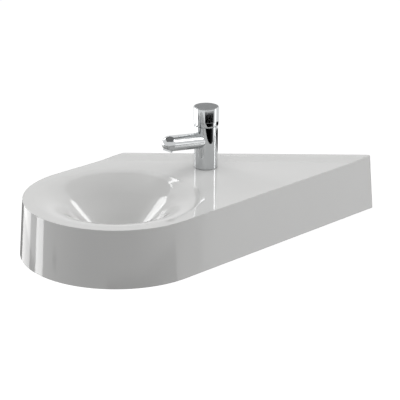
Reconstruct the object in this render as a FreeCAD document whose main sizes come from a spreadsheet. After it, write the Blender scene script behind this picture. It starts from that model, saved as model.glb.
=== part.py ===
import FreeCAD, Part
import Sketcher
import math
import os
import re

# Wall-hung corner basin: a ceramic bowl whose long axis stands at 45 degrees to the wall,
# with a self-closing push tap and a screw-together grid waste.
# Frame: +Z up, the wall is the plane Y = 0, the basin stands out towards -Y.
# The origin is on the wall, midway between the two fixing holes.

SIZES = {
    # ceramic, outside
    "wall_length": 645.0,
    "axis_angle": 45.0,
    "basin_height": 141.5,
    "apron_flare": 9.0,
    "corner_radius": 5.0,
    "rim_radius": 4.0,
    "foot_radius": 2.0,
    "ledge_rise": 3.0,
    "ledge_depth": 52.0,
    "ledge_run": 7.0,
    "ledge_blend": 12.0,
    # ceramic, walls
    "apron_wall": 12.0,
    "back_wall": 14.0,
    "slab": 14.0,
    # bowl
    "bowl_radius": 210.0,
    "bowl_depth": 112.0,
    "bowl_slope": 43.5,
    "cup_share": 0.435,
    "bowl_wall": 12.0,
    "crest_lift": 0.25,
    "boss_radius": 38.0,
    "boss_drop": 5.0,
    # holes in the ceramic
    "fixing_height": 80.0,
    "fixing_spacing": 280.0,
    "fixing_hole": 7.0,
    "tap_hole": 17.5,
    "waste_hole": 22.5,
    # clearances
    "fit": 0.05,
    "gap": 0.3,
    # tap, outside
    "tap_from_left": 213.0,
    "tap_from_wall": 96.5,
    "body_radius": 30.1,
    "body_height": 110.0,
    "collar_radius": 31.2,
    "collar_taper": 4.0,
    "collar_height": 19.0,
    "cap_radius": 32.5,
    "cap_height": 35.5,
    "cap_over_collar": 5.0,
    "cap_wall": 1.0,
    "cap_roof": 3.0,
    "cap_edge": 1.8,
    "spout_radius": 20.0,
    "spout_height": 71.0,
    "spout_reach": 127.0,
    "spout_rise": 8.5,
    "spout_wall": 4.0,
    # tap, inside
    "base_gasket": 1.5,
    "gasket_width": 9.0,
    "foot_wall": 3.5,
    "chamber_base": 10.0,
    "chamber_radius": 23.0,
    "chamber_depth": 54.0,
    "neck_radius": 27.5,
    "neck_height": 12.0,
    "nut_depth": 12.0,
    "nut_radius": 24.5,
    "inlet_bore": 6.5,
    # cartridge
    "sleeve_bore": 15.0,
    "sleeve_wall": 3.0,
    "flange_height": 8.0,
    "valve_depth": 23.0,
    "seat_thickness": 3.0,
    "seat_bore": 8.0,
    "port_radius": 4.5,
    "port_depth": 12.0,
    "seal_wire": 1.2,
    "cover_thickness": 4.0,
    "nut_thickness": 6.0,
    "nut_bore": 17.0,
    "spanner_hole": 1.5,
    "spindle_radius": 5.0,
    "spindle_grip": 6.0,
    "valve_radius": 12.5,
    "valve_thickness": 9.0,
    "valve_rubber": 2.0,
    "cap_boss": 8.5,
    "cap_boss_length": 16.0,
    "cap_screw_drop": 8.0,
    "cap_screw_radius": 2.0,
    "spring_wire": 2.0,
    "spring_radius": 11.5,
    # nozzle
    "nozzle_tilt": 25.0,
    "nozzle_radius": 12.5,
    "nozzle_thread": 10.5,
    "nozzle_bore": 8.5,
    "nozzle_lip": 6.5,
    "nozzle_seat": 15.0,
    "nozzle_seal": 1.0,
    "nozzle_flange": 4.5,
    "nozzle_grip": 6.0,
    "jet_plate": 2.5,
    "jet_radius": 0.8,
    "jet_circle": 5.0,
    # tap fixing
    "shank_radius": 14.0,
    "shank_grip": 20.0,
    "shank_below": 45.0,
    "tail_radius": 10.48,
    "tail_length": 18.0,
    "washer_radius": 25.0,
    "rubber_washer": 3.0,
    "steel_washer": 2.0,
    "backnut_flats": 41.0,
    "backnut_height": 10.0,
    # waste
    "grid_radius": 31.5,
    "grid_thickness": 3.0,
    "grid_hole": 3.0,
    "grid_circle": 12.0,
    "grid_spigot": 19.0,
    "spigot_wall": 2.0,
    "spigot_drop": 8.0,
    "waste_seal": 2.0,
    "waste_screw": 3.0,
    "screw_head": 5.5,
    "slot_width": 1.2,
    "slot_depth": 1.0,
    "cup_flange": 31.0,
    "cup_flange_thickness": 4.0,
    "waste_thread": 20.95,
    "waste_bore": 17.5,
    "waste_tail": 52.0,
    "bridge_width": 12.0,
    "bridge_height": 8.0,
}
# counts
JETS = 8
GRID_HOLES = 10
PORTS = 4
SPANNER_HOLES = 2
SPRING_TURNS = 7
QUARTERS = 4

doc = FreeCAD.newDocument("CornerBasin")
sheet = doc.addObject("Spreadsheet::Sheet", "Sizes")
for row, (alias, number) in enumerate(SIZES.items(), start=1):
    sheet.set("A%d" % row, alias)
    sheet.set("B%d" % row, str(number))
    sheet.setAlias("B%d" % row, alias)
doc.recompute()

X_AXIS = FreeCAD.Vector(1, 0, 0)
Y_AXIS = FreeCAD.Vector(0, 1, 0)
Z_AXIS = FreeCAD.Vector(0, 0, 1)
FULL_TURN = 360
nodes = []


def size(alias):
    """The number that the sheet holds for one size."""
    return float(sheet.get(alias))


def bind(thing, prop, formula):
    """Tie a property to the sheet; the formula names the sizes by their aliases."""
    text = re.sub(r"[a-z_]+", lambda word: ("Sizes." if word[0] in SIZES else "") + word[0], formula)
    thing.setExpression(prop, text)


def new_body(label, place=None):
    body = doc.addObject("PartDesign::Body", label)
    body.Label = label
    body.Placement = place or FreeCAD.Placement()
    nodes.append(body)
    return body


def new_sketch(body, name, plane, offset=(0, 0, 0)):
    sketch = body.newObject("Sketcher::SketchObject", name)
    origin_plane = [item for item in body.Origin.OriginFeatures if item.Role == plane][0]
    sketch.AttachmentSupport = (origin_plane, [""])
    sketch.MapMode = "FlatFace"
    sketch.AttachmentOffset = FreeCAD.Placement(FreeCAD.Vector(*offset), FreeCAD.Rotation())
    return sketch


def bind_measure(sketch, measure, name, formula):
    """Add a named measure to a sketch, starting from its drawn value, and tie it to the sheet."""
    index = sketch.addConstraint(Sketcher.Constraint(*measure))
    sketch.renameConstraint(index, name)
    bind(sketch, "Constraints." + name, formula)


def bind_corner(sketch, geometry, which, name, across, up):
    """Hold one corner of a sketch at (across, up): formulas, or None where it is free."""
    drawn = sketch.getPoint(geometry, which)
    for kind, word, formula, axis, start in (("DistanceX", "x", across, -2, drawn.x),
                                             ("DistanceY", "y", up, -1, drawn.y)):
        if formula == "0":
            sketch.addConstraint(Sketcher.Constraint("PointOnObject", geometry, which, axis))
        elif formula:
            bind_measure(sketch, (kind, -1, 1, geometry, which, start), word + name, formula)


def end_near(sketch, geometry, point):
    """Which end of an arc lies at a point: 1 for its start, 2 for its end."""
    return min((1, 2), key=lambda end: sketch.getPoint(geometry, end).distanceToPoint(point))


def draw_polygon(sketch, corners, first=0):
    """A closed outline of straight lines through corners given as pairs of formulas."""
    count = len(corners)
    for step in range(count):
        start, end = step + 1, (step + 1) % count + 1
        line = Part.LineSegment(FreeCAD.Vector(start, start * start, 0), FreeCAD.Vector(end, end * end, 0))
        sketch.addGeometry(line)
    for step in range(count):
        following = first + (step + 1) % count
        sketch.addConstraint(Sketcher.Constraint("Coincident", first + step, 2, following, 1))
    for step, (across, up) in enumerate(corners):
        bind_corner(sketch, first + step, 1, str(first + step), across, up)


def lathe(label, corners, place=None):
    """A body turned about its own Z axis; corners are (radius, height) pairs of formulas."""
    body = new_body(label, place)
    outline = new_sketch(body, label + "_outline", "XZ_Plane")
    draw_polygon(outline, corners)
    turned = body.newObject("PartDesign::Revolution", label + "_turned")
    turned.Profile = outline
    turned.ReferenceAxis = (outline, ["V_Axis"])
    turned.Angle = FULL_TURN
    doc.recompute()
    return body, outline


def drill(body, name, radius, length, place, add=False):
    """A round hole, or a round boss, along the Z axis of the given place."""
    kind = "PartDesign::AdditiveCylinder" if add else "PartDesign::SubtractiveCylinder"
    cylinder = body.newObject(kind, name)
    bind(cylinder, "Radius", radius)
    bind(cylinder, "Height", length)
    cylinder.Placement = place
    doc.recompute()
    return cylinder


def ring_of(body, name, feature, outline, count):
    """Repeat a feature evenly round the body's axis."""
    pattern = body.newObject("PartDesign::PolarPattern", name)
    pattern.Originals = [feature]
    pattern.Axis = (outline, ["V_Axis"])
    pattern.Angle = FULL_TURN
    pattern.Occurrences = count
    body.Tip = pattern
    doc.recompute()
    return pattern


def at(x, y, z, axis=Z_AXIS, angle=0):
    return FreeCAD.Placement(FreeCAD.Vector(x, y, z), FreeCAD.Rotation(axis, angle))


# ---- places of the main pieces -----------------------------------------------------------

half_wall = size("wall_length") / 2
tilt = math.radians(size("axis_angle"))
rim_z = size("basin_height") - size("fixing_height")
foot_z = -size("fixing_height")
bowl_x = -half_wall
bowl_y = -half_wall * math.tan(tilt)
bowl_floor_z = rim_z - size("bowl_depth")

SPOUT_HEADING = 180 + size("axis_angle")
tap_place = at(size("tap_from_left") - half_wall, -size("tap_from_wall"), rim_z, Z_AXIS, SPOUT_HEADING)
waste_place = at(bowl_x, bowl_y, bowl_floor_z)


# ---- ceramic basin -----------------------------------------------------------------------

RIM = "(basin_height - fixing_height)"
LEAN = "(axis_angle * 1 deg)"


def draw_plan(sketch, growth, back):
    """The basin's plan: a round front, two sides at the axis angle, and one straight back.

    growth lists the sizes by which it is larger (+) or smaller (-) than the rim's own plan.
    """
    along = FreeCAD.Vector(math.cos(tilt), math.sin(tilt), 0)
    across = FreeCAD.Vector(-math.sin(tilt), math.cos(tilt), 0)
    centre = FreeCAD.Vector(bowl_x, bowl_y, 0)
    reach = half_wall * math.sin(tilt) + sum(float(word[0] + "1") * size(word[1:]) for word in growth)
    setback = 0.0 if back == "0" else size(back)
    left, right = centre + across * reach, centre - across * reach
    left_back = left - along * ((left.y + setback) / along.y)
    right_back = right - along * ((right.y + setback) / along.y)
    sketch.addGeometry(Part.LineSegment(left_back, right_back))
    sketch.addGeometry(Part.LineSegment(right_back, right))
    sketch.addGeometry(Part.Arc(right, centre - along * reach, left))
    sketch.addGeometry(Part.LineSegment(left, left_back))
    for joint in ((0, 2, 1, 1), (1, 2, 2, end_near(sketch, 2, right)),
                  (3, 1, 2, end_near(sketch, 2, left)), (3, 2, 0, 1)):
        sketch.addConstraint(Sketcher.Constraint("Coincident", *joint))

    half = "(wall_length * sin%s / 2%s)" % (LEAN, "".join(growth))
    centre_y = "-wall_length / 2 * tan%s" % LEAN
    bind_corner(sketch, 2, 3, "centre", "-wall_length / 2", centre_y)
    for name, side, end, back_line in (("left", "-", (3, 1), (0, 1)), ("right", "+", (1, 2), (0, 2))):
        other = "+" if side == "-" else "-"
        side_x = "(-wall_length / 2 %s %s * sin%s)" % (side, half, LEAN)
        side_y = "(%s %s %s * cos%s)" % (centre_y, other, half, LEAN)
        back_x = "%s - (%s + %s) / tan%s" % (side_x, side_y, back, LEAN)
        back_y = "0" if back == "0" else "-" + back
        bind_corner(sketch, *back_line, name + "back", back_x, back_y)
        # the second end of an arc round a fixed centre needs only one measure
        bind_corner(sketch, *end, name, side_x, side_y if name == "left" else None)


def middle(edge):
    return edge.valueAt((edge.FirstParameter + edge.LastParameter) / 2)


def meets_a_side(shape, edge):
    """True where one of the two faces at this edge is an upright outer wall."""
    for face in shape.ancestorsOfType(edge, Part.Face):
        u, v = face.Surface.parameter(middle(edge))
        if abs(face.normalAt(u, v).z) < 0.3:
            return True
    return False


def round_edges(body, name, test, radius):
    """Round the edges of the body's last feature that pass a test."""
    below = body.Tip
    names = ["Edge%d" % (index + 1) for index, edge in enumerate(below.Shape.Edges) if test(edge)]
    rounded = body.newObject("PartDesign::Fillet", name)
    rounded.Base = (below, names)
    bind(rounded, "Radius", radius)
    doc.recompute()
    return rounded


def lean_out(body, name, level, hollow=False):
    """Lean the sides and the round front outwards from a level face, as the apron leans."""
    below = body.Tip
    leaning, neutral = [], None
    for index, face in enumerate(below.Shape.Faces):
        box = face.BoundBox
        if box.ZLength < 0.01 and abs(box.ZMax - level) < 0.01:
            neutral = "Face%d" % (index + 1)
        elif box.ZLength > size("slab") and box.YLength > half_wall / 4 and abs(box.ZMax - level) < 0.01:
            leaning.append("Face%d" % (index + 1))
    drafted = body.newObject("PartDesign::Draft", name)
    drafted.Base = (below, leaning)
    drafted.NeutralPlane = (below, [neutral])
    drafted.Reversed = hollow
    bind(drafted, "Angle", "atan(apron_flare / (basin_height + ledge_rise))")
    doc.recompute()
    return drafted


# the shoulder's and the cup's radius together, from the slope of the side between them
BOTH_BENDS = ("((bowl_radius * sin(bowl_slope * 1 deg)"
              " - (bowl_depth + crest_lift) * cos(bowl_slope * 1 deg))"
              " / (1 - cos(bowl_slope * 1 deg)))")
CUP = "cup_share * " + BOTH_BENDS
SHOULDER = "(1 - cup_share) * " + BOTH_BENDS


def draw_bowl(sketch, outward):
    """Half the bowl's section: a wide convex shoulder, a sloping side and a round cup.

    outward is the formula of the distance from the glazed inside: 0 for the inside itself.
    """
    crest, depth = size("bowl_radius"), size("bowl_depth") + size("crest_lift")
    slope = math.radians(size("bowl_slope"))
    both = (crest * math.sin(slope) - depth * math.cos(slope)) / (1 - math.cos(slope))
    cup = both * size("cup_share")
    shoulder = both - cup
    grown = size("bowl_wall") if outward != "0" else 0.0
    middle_top = FreeCAD.Vector(crest, size("crest_lift") - shoulder, 0)
    middle_cup = FreeCAD.Vector(0, cup - size("bowl_depth"), 0)

    def on(centre, radius, turn, side):
        return centre + FreeCAD.Vector(side * radius * math.sin(turn), -side * radius * math.cos(turn), 0)

    top = on(middle_top, shoulder - grown, 0, -1)
    top_end = on(middle_top, shoulder - grown, slope, -1)
    cup_start = on(middle_cup, cup + grown, slope, 1)
    cup_end = on(middle_cup, cup + grown, 0, 1)
    lid = FreeCAD.Vector(0, top.y, 0)
    shoulder_arc = Part.Arc(top, on(middle_top, shoulder - grown, slope / 2, -1), top_end)
    cup_arc = Part.Arc(cup_start, on(middle_cup, cup + grown, slope / 2, 1), cup_end)
    for piece in (Part.LineSegment(lid, top), shoulder_arc, Part.LineSegment(top_end, cup_start),
                  cup_arc, Part.LineSegment(cup_end, lid)):
        sketch.addGeometry(piece)

    joints = (("Coincident", 0, 2, 1, end_near(sketch, 1, top)),
              ("Tangent", 2, 1, 1, end_near(sketch, 1, top_end)),
              ("Tangent", 2, 2, 3, end_near(sketch, 3, cup_start)),
              ("Coincident", 4, 1, 3, end_near(sketch, 3, cup_end)),
              ("Coincident", 4, 2, 0, 1), ("Horizontal", 0), ("PointOnObject", 4, 1, -2),
              ("PointOnObject", 4, 2, -2), ("PointOnObject", 3, 3, -2))
    for joint in joints:
        sketch.addConstraint(Sketcher.Constraint(*joint))
    bind_corner(sketch, 1, 3, "shoulder", "bowl_radius", "crest_lift - " + SHOULDER)
    bind_measure(sketch, ("DistanceX", -1, 1, 0, 2, crest), "crest", "bowl_radius")
    bind_measure(sketch, ("Radius", 1, shoulder - grown), "bend", SHOULDER + " - " + outward)
    bind_measure(sketch, ("Radius", 3, cup + grown), "cup", CUP + " + " + outward)
    bind_measure(sketch, ("DistanceY", -1, 1, 3, 3, middle_cup.y), "cupheight", CUP + " - bowl_depth")


def spin(body, name, kind, draw, formula):
    """Turn the bowl's section about the bowl's own upright axis."""
    section = new_sketch(body, name + "_section", "XZ_Plane", (bowl_x, rim_z, -bowl_y))
    draw(section, formula)
    turned = body.newObject(kind, name)
    turned.Profile = section
    turned.ReferenceAxis = (section, ["V_Axis"])
    turned.Angle = FULL_TURN
    doc.recompute()


def extrude_plan(body, name, kind, growth, back, height, length):
    plan = new_sketch(body, name + "_plan", "XY_Plane", (0, 0, height))
    draw_plan(plan, growth, back)
    block = body.newObject(kind, name)
    block.Profile = plan
    block.Type = "Length"
    bind(block, "Length", length)
    doc.recompute()
    return block


def make_basin():
    body = new_body("basin")
    extrude_plan(body, "outside", "PartDesign::Pad", [], "0", foot_z, "basin_height + ledge_rise")
    lean_out(body, "apron", rim_z + size("ledge_rise"))
    round_edges(body, "corners", lambda edge: edge.BoundBox.ZLength > size("basin_height")
                and abs(middle(edge).y) < size("apron_flare"), "corner_radius")

    # everything in front of the low ledge along the wall is cut down to the rim
    section = new_sketch(body, "ledge_section", "YZ_Plane", (0, 0, -size("wall_length")))
    ledge_top = RIM + " + ledge_rise"
    draw_polygon(section, (("-ledge_depth", ledge_top), ("-ledge_depth", ledge_top + " * 2"),
                           ("-wall_length * 2", ledge_top + " * 2"), ("-wall_length * 2", RIM),
                           ("-ledge_depth - ledge_run", RIM)))
    step = body.newObject("PartDesign::Pocket", "ledge_step")
    step.Profile = section
    step.Type = "Length"
    step.Reversed = True
    bind(step, "Length", "wall_length * 2")
    doc.recompute()
    round_edges(body, "ledge_bends", lambda edge: edge.BoundBox.ZMin > rim_z - 1
                and edge.BoundBox.YLength < 1 and middle(edge).y < -size("ledge_depth") + 1
                and edge.BoundBox.XLength > half_wall / 2, "ledge_blend")
    shape = body.Tip.Shape
    round_edges(body, "rim", lambda edge: edge.BoundBox.ZMin > rim_z - 1 and meets_a_side(shape, edge),
                "rim_radius")
    round_edges(body, "foot", lambda edge: edge.BoundBox.ZMax < foot_z + 1, "foot_radius")

    # the bowl's shell and waste boss hang in the hollow, then the bowl is sunk into them
    extrude_plan(body, "underside", "PartDesign::Pocket", ["-apron_wall"], "back_wall",
                 rim_z - size("slab"), "basin_height")
    lean_out(body, "underside_lean", rim_z - size("slab"), hollow=True)
    spin(body, "bowl_shell", "PartDesign::Revolution", draw_bowl, "bowl_wall")
    boss_z = bowl_floor_z - size("bowl_wall") - size("boss_drop")
    drill(body, "waste_boss", "boss_radius", "boss_drop + bowl_wall * 2",
          at(bowl_x, bowl_y, boss_z), add=True)
    spin(body, "bowl", "PartDesign::Groove", draw_bowl, "0")

    seat_z = bowl_floor_z - size("grid_thickness") - size("waste_seal")
    drill(body, "grid_seat", "grid_radius + gap", "grid_thickness * 4", at(bowl_x, bowl_y, seat_z))
    drill(body, "waste_opening", "waste_hole", "bowl_wall * 4",
          at(bowl_x, bowl_y, bowl_floor_z - size("bowl_wall") * 2))
    deck = tap_place.Base
    drill(body, "tap_opening", "tap_hole", "slab * 3", at(deck.x, deck.y, rim_z - size("slab") * 1.5))
    for name, side in (("left", -1), ("right", 1)):
        place = at(side * size("fixing_spacing") / 2, size("back_wall"), 0, X_AXIS, 90)
        drill(body, "fixing_" + name, "fixing_hole", "back_wall * 3", place)


# ---- tap body, foot and nozzle -----------------------------------------------------------
# In the tap's own frame z is the height over the deck and x points along the spout.

NECK_TOP = "body_height + neck_height"
CAP_BOTTOM = "body_height + collar_height - cap_over_collar"
CAP_TOP = CAP_BOTTOM + " + cap_height"
ROOF = CAP_TOP + " - cap_roof"
BOSS = "shank_radius + foot_wall"
NUT_SEAT = "body_height - nut_depth"
CHAMBER_FLOOR = NUT_SEAT + " - chamber_depth"
FOOT_RECESS = CHAMBER_FLOOR + " - chamber_base"
VALVE_SEAT = NUT_SEAT + " - valve_depth"

cap_bottom = size("body_height") + size("collar_height") - size("cap_over_collar")
roof_z = cap_bottom + size("cap_height") - size("cap_roof")
nut_seat_z = size("body_height") - size("nut_depth")
chamber_floor_z = nut_seat_z - size("chamber_depth")
rise = math.radians(size("spout_rise"))
spout_end_z = size("spout_height") + size("spout_reach") * math.tan(rise)
spout_end = FreeCAD.Vector(size("spout_reach"), 0, spout_end_z)
spout_start = at(0, 0, size("spout_height"), Y_AXIS, 90 - size("spout_rise"))
spout_tip = FreeCAD.Placement(spout_end, spout_start.Rotation)
nozzle_in_tap = at(spout_end.x, 0, spout_end.z, Y_AXIS, 180 - size("nozzle_tilt"))
nozzle_place = tap_place * nozzle_in_tap


def half_ball(body, name, kind, radius, place):
    ball = body.newObject(kind, name)
    bind(ball, "Radius", radius)
    ball.Angle1 = 0
    ball.Placement = place
    doc.recompute()


def make_tap_body():
    lathe("tap_gasket", (("body_radius - gasket_width", "0"), ("body_radius - gap", "0"),
                         ("body_radius - gap", "base_gasket"),
                         ("body_radius - gasket_width", "base_gasket")), tap_place)
    body, _ = lathe("tap_body", (("0", "base_gasket"), ("body_radius", "base_gasket"),
                                 ("body_radius", "body_height"), ("neck_radius", "body_height"),
                                 ("neck_radius", NECK_TOP), ("0", NECK_TOP)), tap_place)
    spout_length = "spout_reach / cos(spout_rise * 1 deg)"
    drill(body, "spout", "spout_radius", spout_length, spout_start, add=True)
    half_ball(body, "spout_tip", "PartDesign::AdditiveSphere", "spout_radius", spout_tip)
    drill(body, "foot_hollow", "body_radius - foot_wall", FOOT_RECESS, at(0, 0, 0))
    drill(body, "shank_boss", BOSS, FOOT_RECESS, at(0, 0, size("base_gasket")), add=True)
    drill(body, "shank_thread", "shank_radius + fit", "shank_grip", at(0, 0, 0))
    drill(body, "inlet", "inlet_bore", CHAMBER_FLOOR, at(0, 0, size("base_gasket")))
    drill(body, "chamber", "chamber_radius", "chamber_depth", at(0, 0, chamber_floor_z))
    drill(body, "nut_thread", "nut_radius", "neck_height * 4", at(0, 0, nut_seat_z))
    drill(body, "spout_bore", "spout_radius - spout_wall", spout_length, spout_start)
    half_ball(body, "spout_end_bore", "PartDesign::SubtractiveSphere", "spout_radius - spout_wall", spout_tip)
    drill(body, "nozzle_thread", "nozzle_thread + fit", "spout_radius * 2", nozzle_in_tap)
    drill(body, "nozzle_seat", "nozzle_radius + gap", "spout_radius",
          nozzle_in_tap * at(0, 0, size("nozzle_seat")))

    lathe("collar_ring", (("neck_radius + fit", "body_height"), ("body_radius", "body_height"),
                          ("collar_radius", "body_height + collar_taper"),
                          ("collar_radius", "body_height + collar_height"),
                          ("neck_radius + fit", "body_height + collar_height")), tap_place)


def make_nozzle():
    """In the nozzle's frame z is the distance from the middle of the spout's round end."""
    flange = "nozzle_seat + nozzle_seal"
    mouth = flange + " + nozzle_flange"
    inner_end = "nozzle_seat - nozzle_grip"
    lathe("aerator_seal", (("nozzle_thread + fit", "nozzle_seat"), ("nozzle_radius", "nozzle_seat"),
                           ("nozzle_radius", flange), ("nozzle_thread + fit", flange)), nozzle_place)
    lathe("aerator_housing", (("nozzle_bore", inner_end), ("nozzle_thread", inner_end),
                              ("nozzle_thread", flange), ("nozzle_radius", flange),
                              ("nozzle_radius", mouth), ("nozzle_lip", mouth),
                              ("nozzle_lip", flange), ("nozzle_bore", flange)), nozzle_place)
    plate, outline = lathe("aerator_insert", (("0", inner_end), ("nozzle_bore - fit", inner_end),
                                              ("nozzle_bore - fit", flange), ("nozzle_lip", flange),
                                              ("nozzle_lip", inner_end + " + jet_plate"),
                                              ("0", inner_end + " + jet_plate")), nozzle_place)
    inner_z = size("nozzle_seat") - size("nozzle_grip")
    jet = drill(plate, "jet", "jet_radius", "jet_plate * 3",
                at(size("jet_circle"), 0, inner_z - size("jet_plate")))
    ring_of(plate, "jets", jet, outline, JETS)


def make_tap_fixing():
    tail_end = "-shank_below - tail_length"
    lathe("tap_shank", (("inlet_bore", tail_end), ("tail_radius", tail_end),
                        ("tail_radius", "-shank_below"), ("shank_radius", "-shank_below"),
                        ("shank_radius", "shank_grip"), ("inlet_bore", "shank_grip")), tap_place)
    heights = ["-slab", "-slab - rubber_washer", "-slab - rubber_washer - steel_washer"]
    for label, top, bottom in zip(("tap_washer_rubber", "tap_washer_steel"), heights, heights[1:]):
        lathe(label, (("shank_radius + gap", bottom), ("washer_radius", bottom),
                      ("washer_radius", top), ("shank_radius + gap", top)), tap_place)
    nut = new_body("tap_backnut", tap_place)
    nut_z = -size("slab") - size("rubber_washer") - size("steel_washer") - size("backnut_height")
    block = nut.newObject("PartDesign::AdditivePrism", "hexagon")
    block.Polygon = 6
    bind(block, "Circumradius", "backnut_flats / 2 / cos(30 * 1 deg)")
    bind(block, "Height", "backnut_height")
    block.Placement = at(0, 0, nut_z)
    doc.recompute()
    drill(nut, "nut_thread_hole", "shank_radius + fit", "backnut_height * 2",
          at(0, 0, nut_z - size("backnut_height") / 2))


# ---- cartridge: the valve opens when its disc is pushed down from under the seat -----------

def make_cartridge():
    flange = "chamber_radius - fit"
    groove = "chamber_radius - seal_wire * 2 - fit"
    sleeve = "sleeve_bore + sleeve_wall"
    low = CHAMBER_FLOOR + " + flange_height / 2"
    high = NUT_SEAT + " - flange_height / 2"
    seat_top = VALVE_SEAT + " + seat_thickness"
    corners = [("sleeve_bore", CHAMBER_FLOOR), (flange, CHAMBER_FLOOR)]
    for height in (low, high):
        if height == high:
            corners += [(sleeve, NUT_SEAT + " - flange_height"), (flange, NUT_SEAT + " - flange_height")]
        corners += [(flange, height + " - seal_wire"), (groove, height + " - seal_wire"),
                    (groove, height + " + seal_wire"), (flange, height + " + seal_wire")]
        if height == low:
            corners += [(flange, CHAMBER_FLOOR + " + flange_height"),
                        (sleeve, CHAMBER_FLOOR + " + flange_height")]
    corners += [(flange, NUT_SEAT), ("sleeve_bore", NUT_SEAT), ("sleeve_bore", seat_top),
                ("seat_bore", seat_top), ("seat_bore", VALVE_SEAT), ("sleeve_bore", VALVE_SEAT)]
    housing, outline = lathe("cartridge_housing", corners, tap_place)
    port = drill(housing, "port", "port_radius", "chamber_radius",
                 at(0, 0, nut_seat_z - size("port_depth"), Y_AXIS, 90))
    ring_of(housing, "ports", port, outline, PORTS)

    cover_top = NUT_SEAT + " + cover_thickness"
    ring_middle = NUT_SEAT + " + cover_thickness / 2"
    groove_wall = "spindle_radius + seal_wire * 2 + fit"
    lathe("cartridge_cover", (("spindle_radius + fit", NUT_SEAT), ("nut_radius - gap", NUT_SEAT),
                              ("nut_radius - gap", cover_top), ("spindle_radius + fit", cover_top),
                              ("spindle_radius + fit", ring_middle + " + seal_wire"),
                              (groove_wall, ring_middle + " + seal_wire"),
                              (groove_wall, ring_middle + " - seal_wire"),
                              ("spindle_radius + fit", ring_middle + " - seal_wire")), tap_place)
    nut, outline = lathe("cartridge_nut", (("nut_bore", cover_top), ("nut_radius - fit", cover_top),
                                           ("nut_radius - fit", cover_top + " + nut_thickness"),
                                           ("nut_bore", cover_top + " + nut_thickness")), tap_place)
    hole = drill(nut, "spanner_hole", "spanner_hole", "nut_thickness",
                 at((size("nut_bore") + size("nut_radius")) / 2, 0,
                    nut_seat_z + size("cover_thickness") + size("nut_thickness") / 2))
    ring_of(nut, "spanner_holes", hole, outline, SPANNER_HOLES)

    seals = doc.addObject("Part::Compound", "cartridge_seals")
    rings = []
    for name, radius, height in (("low", "chamber_radius - seal_wire - fit / 2", low),
                                 ("high", "chamber_radius - seal_wire - fit / 2", high),
                                 ("spindle", "spindle_radius + seal_wire + fit / 2", ring_middle)):
        ring = doc.addObject("Part::Torus", "seal_" + name)
        bind(ring, "Radius1", radius)
        bind(ring, "Radius2", "seal_wire - fit / 4")
        bind(ring, "Placement.Base.z", height)
        rings.append(ring)
    seals.Links = rings
    seals.Label = "cartridge_seals"
    seals.Placement = tap_place
    nodes.append(seals)


def make_push_button():
    """What moves when the cap is pressed: cap, grub screw, spindle and valve disc."""
    bore = "spindle_radius + fit"
    cap, _ = lathe("push_cap", (("0", ROOF), (bore, ROOF), (bore, ROOF + " - cap_boss_length"),
                                ("cap_boss", ROOF + " - cap_boss_length"), ("cap_boss", ROOF),
                                ("cap_radius - cap_wall", ROOF), ("cap_radius - cap_wall", CAP_BOTTOM),
                                ("cap_radius", CAP_BOTTOM), ("cap_radius", CAP_TOP),
                                ("0", CAP_TOP)), tap_place)
    round_edges(cap, "cap_edge", lambda edge: edge.BoundBox.ZMin > roof_z + 1, "cap_edge")
    screw_in_tap = at(0, 0, roof_z - size("cap_screw_drop"), Y_AXIS, -90)
    drill(cap, "screw_hole", "cap_screw_radius + fit", "cap_radius * 2", screw_in_tap)

    screw, _ = lathe("cap_screw", (("0", "spindle_radius"), ("cap_screw_radius", "spindle_radius"),
                                   ("cap_screw_radius", "cap_boss"), ("0", "cap_boss")),
                     tap_place * screw_in_tap)
    key = screw.newObject("PartDesign::SubtractivePrism", "key_socket")
    key.Polygon = 6
    bind(key, "Circumradius", "cap_screw_radius / 2")
    bind(key, "Height", "cap_boss")
    key.Placement = at(0, 0, (size("spindle_radius") + size("cap_boss")) / 2)
    doc.recompute()

    disc_top = VALVE_SEAT + " - gap"
    metal_top = disc_top + " - valve_rubber"
    metal_bottom = metal_top + " - valve_thickness"
    lathe("spindle", (("0", metal_top + " - spindle_grip"), ("spindle_radius", metal_top + " - spindle_grip"),
                      ("spindle_radius", ROOF), ("0", ROOF)), tap_place)
    lathe("valve_disc", (("0", metal_bottom), ("valve_radius", metal_bottom), ("valve_radius", metal_top),
                         (bore, metal_top), (bore, metal_top + " - spindle_grip"),
                         ("0", metal_top + " - spindle_grip")), tap_place)
    lathe("valve_rubber_disc", ((bore, metal_top), ("valve_radius", metal_top), ("valve_radius", disc_top),
                                (bore, disc_top)), tap_place)


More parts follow.
